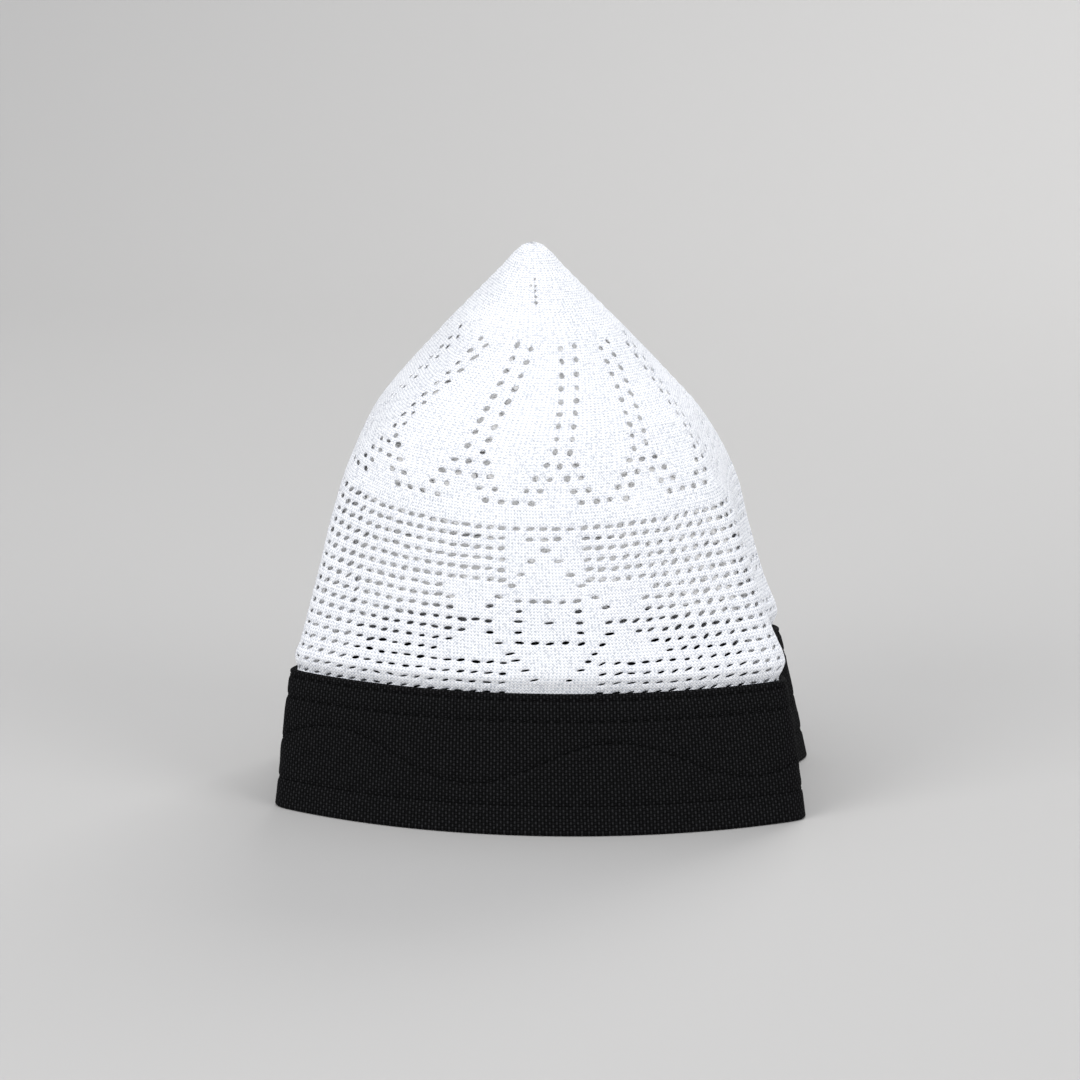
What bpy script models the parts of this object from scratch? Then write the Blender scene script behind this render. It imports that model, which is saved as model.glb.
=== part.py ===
"""Knitted lace cap with a rounded point and a woven cloth band.

Metres, +Z up. The origin is the middle of the rim, on the surface that the
cap rests on. The near panel faces -Y, and two upright folds stand at each
side, one at the near panel's edge and one at the far panel's.
"""
import math
from collections import namedtuple

import bmesh
import bpy
from mathutils import Vector

# Form of the whole cap
CAP_WIDTH = 0.181
CAP_HEIGHT = 0.185
FOLD_SPACING = 0.080
PANEL_BULGE = 0.028
SIDE_TUCK = 0.011
FOLD_SOFTNESS = 0.006
TIP_LEAN = 0.0055

# Cloth band
BAND_HEIGHT = 0.0468
BAND_WALL = 0.0024
BAND_EDGE = 0.0005

# Knitted crown
CROWN_WALL = 0.0016
CROWN_HEM = 0.009
CROWN_GAP = 0.0003
CROWN_EASE = 0.004

# Eyelets of the petals, which start below the tip and run down in pairs of lines
PETALS = 14
EYELET_ROWS = 8
EYELET_PITCH = 0.0044
EYELET_LENGTH = 0.0020
EYELET_WIDTH = 0.0017
EYELET_LINE_SPACING = 0.0042
EYELET_START = 0.034
EYELET_TURN = math.radians(10)
EYELET_SIDES = 6

# Mesh of the surface
CELLS_PER_PETAL = 4
COLUMNS = PETALS * CELLS_PER_PETAL
PANEL_COLUMNS = 18
LOWER_ROWS = 6
TIP_ROWS = 5
BAND_ROWS = 3

# Sections from the rim to the tip. Height is a share of the cap's height, width of
# half its width, depth of half its depth, tuck of the side tuck, far of the near
# fold's width and lean of the tip's, and round goes from 0, folded, to 1, an ellipse.
Section = namedtuple("Section", "height width depth tuck round far lean")
SECTIONS = (
    Section(0.000, 1.000, 1.000, 1.00, 0.00, 0.985, 0.00),
    Section(0.260, 0.928, 0.955, 1.00, 0.00, 0.940, 0.15),
    Section(0.350, 0.876, 0.930, 0.90, 0.05, 0.940, 0.38),
    Section(0.456, 0.804, 0.895, 0.70, 0.12, 0.950, 0.43),
    Section(0.540, 0.753, 0.860, 0.50, 0.22, 0.970, 0.43),
    Section(0.618, 0.691, 0.810, 0.30, 0.36, 0.980, 0.52),
    Section(0.694, 0.612, 0.735, 0.12, 0.55, 1.000, 0.74),
    Section(0.744, 0.524, 0.640, 0.00, 0.75, 1.000, 0.90),
    Section(0.808, 0.394, 0.500, 0.00, 1.00, 1.000, 0.97),
    Section(0.893, 0.247, 0.317, 0.00, 1.00, 1.000, 1.00),
    Section(0.963, 0.108, 0.138, 0.00, 1.00, 1.000, 1.00),
    Section(0.990, 0.052, 0.066, 0.00, 1.00, 1.000, 1.00),
    Section(1.000, 0.000, 0.000, 0.00, 1.00, 1.000, 1.00),
)

# Looks: colour, roughness
KNIT_LOOK = ((0.86, 0.86, 0.88), 0.9)
CLOTH_LOOK = ((0.012, 0.012, 0.014), 0.8)


def knots():
    """Lengths along the side's outline at which the sections stand."""
    lengths = [0.0]
    for low, high in zip(SECTIONS, SECTIONS[1:]):
        rise = (high.height - low.height) * CAP_HEIGHT
        run = (high.width - low.width) * CAP_WIDTH / 2
        lengths.append(lengths[-1] + math.hypot(rise, run))
    return lengths


KNOTS = knots()
OUTLINE = KNOTS[-1]


def slope(index, column):
    """Rate of one column of the table at a section."""
    low = max(index - 1, 0)
    high = min(index + 1, len(SECTIONS) - 1)
    change = SECTIONS[high][column] - SECTIONS[low][column]
    return change / (KNOTS[high] - KNOTS[low])


def section_at(length):
    """The section at a length along the side's outline, on a smooth curve."""
    length = min(max(length, 0.0), OUTLINE)
    index = 0
    while index < len(KNOTS) - 2 and KNOTS[index + 1] < length:
        index += 1
    span = KNOTS[index + 1] - KNOTS[index]
    t = (length - KNOTS[index]) / span
    start_weight = 2 * t**3 - 3 * t**2 + 1
    start_rate = (t**3 - 2 * t**2 + t) * span
    end_weight = 3 * t**2 - 2 * t**3
    end_rate = (t**3 - t**2) * span
    values = []
    for column in range(len(Section._fields)):
        value = start_weight * SECTIONS[index][column] + end_weight * SECTIONS[index + 1][column]
        value += start_rate * slope(index, column) + end_rate * slope(index + 1, column)
        values.append(value)
    return Section(*values)


def folded_point(turn, half_width, half_spacing, bulge, tuck, far):
    """A point of a folded section: two bulged panels and two tucked sides."""
    edge = PANEL_COLUMNS / COLUMNS / 2
    turn = (turn + 0.5) % 1 - 0.5
    side = math.copysign(1, turn)
    reach = abs(turn)
    angle = 2 * math.atan2(bulge, half_width)
    if reach <= edge or reach >= 0.5 - edge:
        near = reach <= edge
        across = reach / edge if near else (0.5 - reach) / edge
        width = half_width if near else half_width * far
        x = side * width * math.sin(across * angle) / math.sin(angle)
        y = half_spacing + bulge * (math.cos(across * angle) - math.cos(angle)) / (1 - math.cos(angle))
        return x, -y if near else y
    along = (reach - edge) / (0.5 - 2 * edge)
    width = half_width * (1 + (far - 1) * along) - tuck * math.sin(math.pi * along)
    return side * width, half_spacing * (2 * along - 1)


def section_point(turn, section):
    """A point of a section, in the plane, with the folds rounded."""
    half_width = CAP_WIDTH / 2 * section.width
    half_spacing = FOLD_SPACING / 2 * section.depth
    bulge = PANEL_BULGE * section.depth
    half_depth = half_spacing + bulge
    if section.width < 1e-6:
        return 0.0, 0.0
    girth = 2 * (CAP_WIDTH + FOLD_SPACING + PANEL_BULGE)
    soft = FOLD_SOFTNESS / girth
    folded_x = 0.0
    folded_y = 0.0
    for shift, weight in ((-soft, 0.25), (-soft / 2, 0.25), (soft / 2, 0.25), (soft, 0.25)):
        tuck = SIDE_TUCK * section.tuck
        x, y = folded_point(turn + shift, half_width, half_spacing, bulge, tuck, section.far)
        folded_x += weight * x
        folded_y += weight * y
    angle = 2 * math.pi * turn
    x = folded_x + section.round * (half_width * math.sin(angle) - folded_x)
    y = folded_y + section.round * (-half_depth * math.cos(angle) - folded_y)
    return x, y


def surface(turn, length):
    """A point of the outer surface: turn counts from the near panel's middle."""
    section = section_at(length)
    x, y = section_point(turn, section)
    return Vector((x - TIP_LEAN * section.lean, y, section.height * CAP_HEIGHT))


def smooth(t):
    """An even ease from 0 to 1."""
    t = min(max(t, 0.0), 1.0)
    return t * t * (3 - 2 * t)


def inset(turn, length, distance):
    """A point of the surface moved inwards, square to it."""
    step_turn = 0.25 / COLUMNS
    step_length = 0.0005
    low = max(length - step_length, 0.0)
    high = min(length + step_length, OUTLINE - step_length)
    across = surface(turn + step_turn, length) - surface(turn - step_turn, length)
    along = surface(turn, high) - surface(turn, low)
    normal = across.cross(along).normalized()
    return surface(turn, length) - normal * distance


def band_top():
    """Length along the outline at which the band ends."""
    low = 0.0
    high = OUTLINE
    while high - low > 1e-6:
        middle = (low + high) / 2
        if section_at(middle).height * CAP_HEIGHT < BAND_HEIGHT:
            low = middle
        else:
            high = middle
    return low


def lace_turn(length):
    """How far the knit's columns have turned round at a length: they lean above the mesh."""
    end = OUTLINE - EYELET_START
    start = end - EYELET_ROWS * EYELET_PITCH
    return EYELET_TURN / (2 * math.pi) * smooth((length - start) / (end - start))


def crown_inset(length, top):
    """How far inside the band's outer face the crown's outer face lies."""
    under = BAND_WALL + CROWN_GAP
    return under * (1 - smooth((length - top) / CROWN_EASE))


def crown_rows(top):
    """Lengths of the crown's rows, and the index of the first eyelet row."""
    eyelets_end = OUTLINE - EYELET_START
    eyelets_start = eyelets_end - EYELET_ROWS * EYELET_PITCH
    eased = top + CROWN_EASE
    rows = [top - CROWN_HEM, top, eased]
    for index in range(1, LOWER_ROWS + 1):
        rows.append(eased + (eyelets_start - eased) * index / LOWER_ROWS)
    first = len(rows) - 1
    for index in range(1, EYELET_ROWS + 1):
        rows.append(eyelets_start + EYELET_PITCH * index)
    for index in range(1, TIP_ROWS):
        share = smooth(0.5 + 0.5 * index / TIP_ROWS) * 2 - 1
        rows.append(eyelets_end + EYELET_START * share)
    return rows, first


def has_eyelet(row, column, first):
    """Whether a cell holds an eyelet: the two lines of a petal take turns, row by row."""
    if not first <= row < first + EYELET_ROWS:
        return False
    return column % CELLS_PER_PETAL == 1 + row % 2


def zip_loops(mesh, outer, inner):
    """Fill the ring between two loops of vertices with triangles."""
    steps = [(i + 1) / len(outer) for i in range(len(outer))]
    holes = [(i + 0.5) / len(inner) for i in range(len(inner))]
    a = 0
    b = 0
    while a < len(outer) or b < len(inner):
        here_out = outer[a % len(outer)]
        here_in = inner[b % len(inner)]
        if b >= len(inner) or (a < len(outer) and steps[a] <= holes[b]):
            mesh.faces.new((here_out, outer[(a + 1) % len(outer)], here_in))
            a += 1
        else:
            mesh.faces.new((here_out, inner[(b + 1) % len(inner)], here_in))
            b += 1


def eyelet_loop(mesh, corners, toward_next):
    """A round loop of vertices in a cell, near the side where its petal's other line is."""
    low_left, low_right, high_right, high_left = (corner.co for corner in corners)
    across = (low_right + high_right - low_left - high_left) / 2
    along = (high_left + high_right - low_left - low_right) / 2
    width = across.length
    offset = min(EYELET_LINE_SPACING / 2, width / 2)
    share = 1 - offset / width if toward_next else offset / width
    middle = (low_left + high_left) / 2 + across * share
    across_unit = across.normalized()
    along_unit = along.normalized()
    loop = []
    for index in range(EYELET_SIDES):
        angle = 2 * math.pi * index / EYELET_SIDES - math.pi * 3 / 4
        x = math.cos(angle) * EYELET_WIDTH / 2
        y = math.sin(angle) * EYELET_LENGTH / 2
        loop.append(mesh.verts.new(middle + across_unit * x + along_unit * y))
    return loop


def crown_mesh():
    """Both faces of the knitted crown, its hem, its tip and its eyelets."""
    mesh = bmesh.new()
    top = band_top()
    rows, first = crown_rows(top)
    faces = []
    for wall in (0.0, CROWN_WALL):
        grid = []
        for length in rows:
            depth = crown_inset(length, top) + wall
            turn = lace_turn(length)
            ring = [inset(column / COLUMNS + turn, length, depth) for column in range(COLUMNS)]
            grid.append([mesh.verts.new(point) for point in ring])
        pole = mesh.verts.new(surface(0.0, OUTLINE) - Vector((0, 0, wall)))
        faces.append((grid, pole))
    for column in range(COLUMNS):
        after = (column + 1) % COLUMNS
        for grid, pole in faces:
            mesh.faces.new((grid[-1][column], grid[-1][after], pole))
        outer = faces[0][0][0]
        inner = faces[1][0][0]
        mesh.faces.new((inner[column], inner[after], outer[after], outer[column]))
        for row in range(len(rows) - 1):
            loops = []
            for grid, _ in faces:
                low = grid[row]
                high = grid[row + 1]
                corners = (low[column], low[after], high[after], high[column])
                if has_eyelet(row, column, first):
                    loop = eyelet_loop(mesh, corners, column % CELLS_PER_PETAL == 1)
                    zip_loops(mesh, corners, loop)
                    loops.append(loop)
                else:
                    mesh.faces.new(corners)
            if loops:
                for index in range(EYELET_SIDES):
                    after_index = (index + 1) % EYELET_SIDES
                    front = (loops[0][index], loops[0][after_index])
                    back = (loops[1][after_index], loops[1][index])
                    mesh.faces.new(front + back)
    return mesh


def band_mesh():
    """The band: a doubled strip of cloth with eased edges, one closed ring."""
    mesh = bmesh.new()
    top = band_top()
    profile = []
    for index in range(BAND_ROWS + 1):
        share = index / BAND_ROWS
        profile.append((BAND_EDGE + (top - 2 * BAND_EDGE) * share, 0.0))
    profile.append((top, BAND_EDGE))
    profile.append((top, BAND_WALL - BAND_EDGE))
    for index in range(BAND_ROWS + 1):
        share = 1 - index / BAND_ROWS
        profile.append((BAND_EDGE + (top - 2 * BAND_EDGE) * share, BAND_WALL))
    profile.append((0.0, BAND_WALL - BAND_EDGE))
    profile.append((0.0, BAND_EDGE))
    rings = []
    for length, depth in profile:
        ring = []
        for column in range(COLUMNS):
            turn = column / COLUMNS
            point = inset(turn, length, depth)
            point.z = surface(turn, length).z
            ring.append(mesh.verts.new(point))
        rings.append(ring)
    for low, high in zip(rings, rings[1:] + rings[:1]):
        for column in range(COLUMNS):
            after = (column + 1) % COLUMNS
            mesh.faces.new((low[column], low[after], high[after], high[column]))
    return mesh


def material(name, look):
    """A plain material of one colour and roughness."""
    colour, roughness = look
    made = bpy.data.materials.new(name)
    made.use_nodes = True
    shader = made.node_tree.nodes["Principled BSDF"]
    shader.inputs["Base Color"].default_value = (*colour, 1)
    shader.inputs["Roughness"].default_value = roughness
    shader.inputs["Metallic"].default_value = 0.0
    made.diffuse_color = (*colour, 1)
    return made


def piece(name, mesh, look):
    """One named solid from a closed mesh, faces outwards, shaded smooth."""
    bmesh.ops.recalc_face_normals(mesh, faces=mesh.faces[:])
    data = bpy.data.meshes.new(name)
    mesh.to_mesh(data)
    mesh.free()
    data.shade_smooth()
    data.set_sharp_from_angle(angle=math.radians(50))
    data.materials.append(material(name + "_look", look))
    made = bpy.data.objects.new(name, data)
    bpy.context.scene.collection.objects.link(made)
    return made


def clear_scene():
    """Remove the scene's objects."""
    for item in list(bpy.data.objects):
        bpy.data.objects.remove(item, do_unlink=True)


def main():
    """Build the cap."""
    clear_scene()
    piece("crown", crown_mesh(), KNIT_LOOK)
    piece("band", band_mesh(), CLOTH_LOOK)


main()
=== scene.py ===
"""Looks of the knitted lace cap: its lace, its woven band, the sewing on it and the studio."""
import logging
import math
from dataclasses import dataclass, field
from enum import Enum
from typing import NamedTuple

import bmesh
import bpy
import numpy as np
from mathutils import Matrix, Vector
from mathutils.geometry import delaunay_2d_cdt


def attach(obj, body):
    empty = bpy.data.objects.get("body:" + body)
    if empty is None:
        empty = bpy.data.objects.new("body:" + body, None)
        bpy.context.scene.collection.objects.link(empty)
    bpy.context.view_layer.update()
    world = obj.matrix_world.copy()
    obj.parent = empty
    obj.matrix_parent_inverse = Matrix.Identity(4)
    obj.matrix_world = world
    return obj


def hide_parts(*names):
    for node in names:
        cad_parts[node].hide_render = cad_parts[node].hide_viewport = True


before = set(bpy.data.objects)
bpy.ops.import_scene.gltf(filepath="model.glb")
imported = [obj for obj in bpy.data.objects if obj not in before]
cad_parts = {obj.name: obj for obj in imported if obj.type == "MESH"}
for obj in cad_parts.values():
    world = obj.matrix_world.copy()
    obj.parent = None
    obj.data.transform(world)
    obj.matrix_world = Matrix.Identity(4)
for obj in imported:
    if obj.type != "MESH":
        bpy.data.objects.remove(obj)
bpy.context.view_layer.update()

LOG = logging.getLogger("cap")
WALL_MERGE = 0.000005
SEAM_MERGE = 0.00002
STITCH_FLATNESS = 0.8


class Section(NamedTuple):
    """A section of the cap, in shares of its sizes; far is the width of the back panel."""

    height: float
    width: float
    depth: float
    tuck: float
    round: float
    far: float
    lean: float


SECTIONS = (
    Section(0.000, 1.000, 1.000, 1.00, 0.00, 0.985, 0.00),
    Section(0.260, 0.928, 0.955, 1.00, 0.00, 0.940, 0.15),
    Section(0.350, 0.870, 0.930, 0.90, 0.05, 0.940, 0.38),
    Section(0.456, 0.807, 0.895, 0.70, 0.12, 0.950, 0.36),
    Section(0.540, 0.761, 0.860, 0.50, 0.22, 0.970, 0.44),
    Section(0.618, 0.702, 0.810, 0.30, 0.36, 0.980, 0.66),
    Section(0.694, 0.608, 0.735, 0.12, 0.55, 1.000, 0.82),
    Section(0.744, 0.524, 0.640, 0.00, 0.75, 1.000, 0.90),
    Section(0.808, 0.407, 0.500, 0.00, 1.00, 1.000, 0.94),
    Section(0.893, 0.239, 0.317, 0.00, 1.00, 1.000, 1.00),
    Section(0.963, 0.099, 0.132, 0.00, 1.00, 1.000, 1.00),
    Section(0.990, 0.047, 0.062, 0.00, 1.00, 1.000, 1.00),
    Section(1.000, 0.000, 0.000, 0.00, 1.00, 1.000, 1.00),
)


def ease(t: np.ndarray) -> np.ndarray:
    """An even ease from 0 to 1."""
    t = np.clip(t, 0.0, 1.0)
    return t * t * (3 - 2 * t)


@dataclass
class CapForm:
    """The cap's outer surface, folded at its four corners and round at its tip."""

    width: float = 0.181
    height: float = 0.185
    fold_spacing: float = 0.080
    bulge: float = 0.028
    side_tuck: float = 0.011
    fold_reach: float = 0.0227
    tip_lean: float = 0.0055
    panel_share: float = 18 / 56
    band_height: float = 0.0468
    taps: int = 11
    samples: int = 4000
    probe: float = 0.0005
    probe_least: float = 0.0004
    probe_turn: float = 0.003
    knots: np.ndarray = field(init=False)
    table: np.ndarray = field(init=False)
    rates: np.ndarray = field(init=False)
    outline: float = field(init=False)
    top: float = field(init=False)

    def __post_init__(self) -> None:
        """Work out the table's lengths and rates, and where the band ends."""
        self.table = np.array(SECTIONS)
        rise = np.diff(self.table[:, 0]) * self.height
        run = np.diff(self.table[:, 1]) * self.width / 2
        self.knots = np.concatenate(([0.0], np.cumsum(np.hypot(rise, run))))
        count = len(self.knots)
        low = np.maximum(np.arange(count) - 1, 0)
        high = np.minimum(np.arange(count) + 1, count - 1)
        spans = (self.knots[high] - self.knots[low])[:, None]
        self.rates = (self.table[high] - self.table[low]) / spans
        self.outline = float(self.knots[-1])
        lengths = np.linspace(0, self.outline, self.samples)
        heights = self.section_at(lengths)[..., 0] * self.height
        self.top = float(np.interp(self.band_height, heights, lengths))

    def section_at(self, length: np.ndarray) -> np.ndarray:
        """Sections at lengths along the side's outline.

        Args:
            length: lengths in metres, of any shape.
        Returns:
            The table's seven columns in a last axis.
        """
        length = np.clip(length, 0.0, self.outline)
        index = np.searchsorted(self.knots, length, side="left") - 1
        index = np.clip(index, 0, len(self.knots) - 2)
        span = (self.knots[index + 1] - self.knots[index])[..., None]
        t = (length - self.knots[index])[..., None] / span
        value = (2 * t**3 - 3 * t**2 + 1) * self.table[index]
        value = value + (3 * t**2 - 2 * t**3) * self.table[index + 1]
        value = value + (t**3 - 2 * t**2 + t) * span * self.rates[index]
        return value + (t**3 - t**2) * span * self.rates[index + 1]

    def folded(self, turn: np.ndarray, section: np.ndarray) -> tuple[np.ndarray, np.ndarray]:
        """Points of the sharp folded section: two bulged panels and two tucked sides.

        Args:
            turn: turns from the near panel's middle.
            section: the section of each point.
        Returns:
            The points' x and y.
        """
        half_width = self.width / 2 * np.maximum(section[..., 1], 1e-6)
        half_spacing = self.fold_spacing / 2 * section[..., 2]
        bulge = self.bulge * np.maximum(section[..., 2], 1e-5)
        tuck = self.side_tuck * section[..., 3]
        far = section[..., 5]
        edge = self.panel_share / 2
        turn = (turn + 0.5) % 1 - 0.5
        side = np.where(turn < 0, -1.0, 1.0)
        reach = np.abs(turn)
        angle = 2 * np.arctan2(bulge, half_width)
        near = reach <= edge
        panel = near | (reach >= 0.5 - edge)
        across = np.where(near, reach, 0.5 - reach) / edge
        width = np.where(near, half_width, half_width * far)
        panel_x = side * width * np.sin(across * angle) / np.sin(angle)
        panel_y = half_spacing + bulge * (np.cos(across * angle) - np.cos(angle)) / (
            1 - np.cos(angle) + 1e-12
        )
        panel_y = np.where(near, -panel_y, panel_y)
        along = (reach - edge) / (0.5 - 2 * edge)
        side_x = side * (half_width * (1 + (far - 1) * along) - tuck * np.sin(np.pi * along))
        side_y = half_spacing * (2 * along - 1)
        return np.where(panel, panel_x, side_x), np.where(panel, panel_y, side_y)

    def point(self, turn: np.ndarray, length: np.ndarray) -> np.ndarray:
        """Points of the outer surface.

        Args:
            turn: turns from the near panel's middle, towards +X.
            length: lengths along the side's outline, of the same shape.
        Returns:
            The points in a last axis of three.
        """
        turn, length = np.broadcast_arrays(np.asarray(turn, float), np.asarray(length, float))
        section = self.section_at(length)
        x = np.zeros(turn.shape)
        y = np.zeros(turn.shape)
        shifts = np.linspace(-1, 1, self.taps + 2)[1:-1]
        weights = 1 + np.cos(np.pi * shifts)
        for shift, weight in zip(shifts * self.fold_reach, weights / weights.sum()):
            some_x, some_y = self.folded(turn + shift, section)
            x += weight * some_x
            y += weight * some_y
        half_width = self.width / 2 * section[..., 1]
        half_depth = (self.fold_spacing / 2 + self.bulge) * section[..., 2]
        angle = 2 * np.pi * turn
        x += section[..., 4] * (half_width * np.sin(angle) - x)
        y += section[..., 4] * (-half_depth * np.cos(angle) - y)
        x -= self.tip_lean * section[..., 6]
        return np.stack((x, y, section[..., 0] * self.height), axis=-1)

    def normal(self, turn: np.ndarray, length: np.ndarray) -> np.ndarray:
        """Outward directions square to the surface.

        Args:
            turn: turns from the near panel's middle.
            length: lengths along the side's outline.
        Returns:
            The unit vectors in a last axis of three.
        """
        low = np.maximum(length - self.probe, 0.0)
        high = np.minimum(length + self.probe, self.outline - self.probe)
        low = np.minimum(low, high - self.probe_least)
        aside = self.probe_turn
        across = self.point(turn + aside, length) - self.point(turn - aside, length)
        along = self.point(turn, high) - self.point(turn, low)
        normal = np.cross(across, along)
        return normal / np.maximum(np.linalg.norm(normal, axis=-1, keepdims=True), 1e-12)

    def inset(self, turn: np.ndarray, length: np.ndarray, depth: np.ndarray) -> np.ndarray:
        """Points of the surface moved inwards by a depth."""
        shift = self.normal(turn, length) * np.asarray(depth)[..., None]
        return self.point(turn, length) - shift

    def fold_share(self, turn: np.ndarray) -> np.ndarray:
        """How near a turn is to a fold: 0 in the middle of a panel, 1 at the folds and sides."""
        reach = np.abs((turn + 0.5) % 1 - 0.5)
        return np.clip(np.minimum(reach, 0.5 - reach) * 2 / self.panel_share, 0, 1) ** 2

    def arcs(self, turns: np.ndarray, lengths: np.ndarray) -> np.ndarray:
        """Real distances up the surface from the rim.

        Args:
            turns: turns from the near panel's middle.
            lengths: lengths along the side's outline.
        Returns:
            The distances, one row for each turn.
        """
        points = self.point(turns[:, None], lengths[None, :])
        steps = np.linalg.norm(np.diff(points, axis=1), axis=2)
        return np.concatenate((np.zeros((len(turns), 1)), np.cumsum(steps, axis=1)), axis=1)


def mesh_object(name: str, vertices: np.ndarray, faces: list) -> bpy.types.Object:
    """A new object at the origin.

    Args:
        name: the object's name.
        vertices: its points in metres.
        faces: loops of the points' numbers.
    Returns:
        The object.
    """
    mesh = bpy.data.meshes.new(name)
    mesh.from_pydata([tuple(point) for point in vertices], [], [tuple(face) for face in faces])
    mesh.update()
    made = bpy.data.objects.new(name, mesh)
    bpy.context.scene.collection.objects.link(made)
    return made


def write_uv(mesh: bpy.types.Mesh, corners: np.ndarray) -> None:
    """Give a mesh the UV map that its materials read, one pair for each face corner."""
    layer = mesh.uv_layers.new(name="UVMap")
    layer.data.foreach_set("uv", corners.astype(np.float32).ravel())


class Tree:
    """A node tree under construction, with short calls to add and join its nodes."""

    def __init__(self, tree: bpy.types.NodeTree) -> None:
        """Start on a tree and empty it."""
        self.tree = tree
        tree.nodes.clear()

    def feed(self, target: bpy.types.NodeSocket, value: object) -> None:
        """Link a socket to an input, or set the input to a plain value.

        Args:
            target: the input.
            value: a socket or a plain value.
        """
        if isinstance(value, bpy.types.NodeSocket):
            self.tree.links.new(value, target)
        else:
            target.default_value = value

    def node(self, kind: str, feeds: dict | None = None, **settings: object) -> bpy.types.Node:
        """Add a node.

        Args:
            kind: the node's type.
            feeds: its inputs by name or number, each a socket or a plain value.
            settings: its properties.
        Returns:
            The node.
        """
        made = self.tree.nodes.new(kind)
        for key, value in settings.items():
            setattr(made, key, value)
        for key, value in (feeds or {}).items():
            self.feed(made.inputs[key], value)
        return made

    def flow(self, kind: str, feeds: dict, **settings: object) -> bpy.types.NodeSocket:
        """Add a node as node() does, and give its first output."""
        return self.node(kind, feeds, **settings).outputs[0]

    def math(self, operation: str, *values: object) -> bpy.types.NodeSocket:
        """A Math node's output, from numbers or sockets."""
        return self.flow("ShaderNodeMath", dict(enumerate(values)), operation=operation)

    def plus(self, first: object, second: object) -> bpy.types.NodeSocket:
        """The sum of two numbers or sockets."""
        return self.math("ADD", first, second)

    def minus(self, first: object, second: object) -> bpy.types.NodeSocket:
        """The first number or socket less the second."""
        return self.math("SUBTRACT", first, second)

    def times(self, first: object, second: object) -> bpy.types.NodeSocket:
        """The product of two numbers or sockets."""
        return self.math("MULTIPLY", first, second)


class GeometryTree(Tree):
    """A Geometry Nodes tree with named inputs."""

    def __init__(self, name: str, sizes: dict[str, str]) -> None:
        """Make the tree with a geometry input and output.

        Args:
            name: the tree's name.
            sizes: the kind of each further input, by its name.
        """
        group = bpy.data.node_groups.new(name, "GeometryNodeTree")
        super().__init__(group)
        for way in ("INPUT", "OUTPUT"):
            group.interface.new_socket("Geometry", in_out=way, socket_type="NodeSocketGeometry")
        self.sockets: dict[str, str] = {}
        for key, kind in sizes.items():
            item = group.interface.new_socket(key, in_out="INPUT", socket_type=f"NodeSocket{kind}")
            self.sockets[key] = item.identifier
        self.source = self.node("NodeGroupInput").outputs

    def attribute(self, name: str, kind: str) -> bpy.types.NodeSocket:
        """A named attribute of the geometry."""
        made = self.node("GeometryNodeInputNamedAttribute", {"Name": name}, data_type=kind)
        return made.outputs["Attribute"]

    def dress(self, geometry: bpy.types.NodeSocket, size: str) -> bpy.types.NodeSocket:
        """The geometry in the material of a named input."""
        feeds = {"Geometry": geometry, "Material": self.source[size]}
        return self.flow("GeometryNodeSetMaterial", feeds)

    def end(self, geometry: bpy.types.NodeSocket) -> None:
        """Send geometry to the tree's output."""
        self.node("NodeGroupOutput", {"Geometry": geometry})

    def apply(self, target: bpy.types.Object, values: dict[str, object]) -> bpy.types.Object:
        """Run the tree on an object and keep the result as a plain mesh.

        Args:
            target: the object that the tree reads.
            values: the tree's inputs by name.
        Returns:
            The object, with the result as its mesh and no modifier.
        """
        modifier = target.modifiers.new(self.tree.name, "NODES")
        modifier.node_group = self.tree
        for name, value in values.items():
            modifier[self.sockets[name]] = value
        target.update_tag()
        bpy.context.view_layer.update()
        evaluated = target.evaluated_get(bpy.context.evaluated_depsgraph_get())
        result = bpy.data.meshes.new_from_object(evaluated)
        target.modifiers.remove(modifier)
        old = target.data
        target.data = result
        result.name = target.name
        bpy.data.meshes.remove(old)
        return target


def lace_tree() -> GeometryTree:
    """Nodes that pierce a sheet at its eyelet faces and give it its wall."""
    made = GeometryTree("lace", {"Wall": "Float", "Yarn": "Material", "Lining": "Material"})
    feeds = {"Geometry": made.source["Geometry"], "Selection": made.attribute("eyelet", "BOOLEAN")}
    outer = made.flow("GeometryNodeDeleteGeometry", feeds, domain="FACE", mode="ALL")
    depth = made.times(made.source["Wall"], -1.0)
    feeds = {"Mesh": outer, "Offset Scale": depth, "Individual": False}
    inner = made.flow("GeometryNodeExtrudeMesh", feeds, mode="FACES")
    inner = made.flow("GeometryNodeFlipFaces", {"Mesh": inner})
    both = made.node("GeometryNodeJoinGeometry", {"Geometry": made.dress(inner, "Lining")})
    made.feed(both.inputs["Geometry"], made.dress(outer, "Yarn"))
    feeds = {"Geometry": both.outputs["Geometry"], "Distance": WALL_MERGE}
    whole = made.flow("GeometryNodeMergeByDistance", feeds)
    whole = made.flow("GeometryNodeSetShadeSmooth", {"Geometry": whole}, domain="FACE")
    seam = made.math("GREATER_THAN", made.attribute("seam", "FLOAT"), 0.99)
    feeds = {"Geometry": whole, "Selection": seam, "Shade Smooth": False}
    whole = made.flow("GeometryNodeSetShadeSmooth", feeds, domain="EDGE")
    made.end(made.flow("GeometryNodeRealizeInstances", {"Geometry": whole}))
    return made


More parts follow.
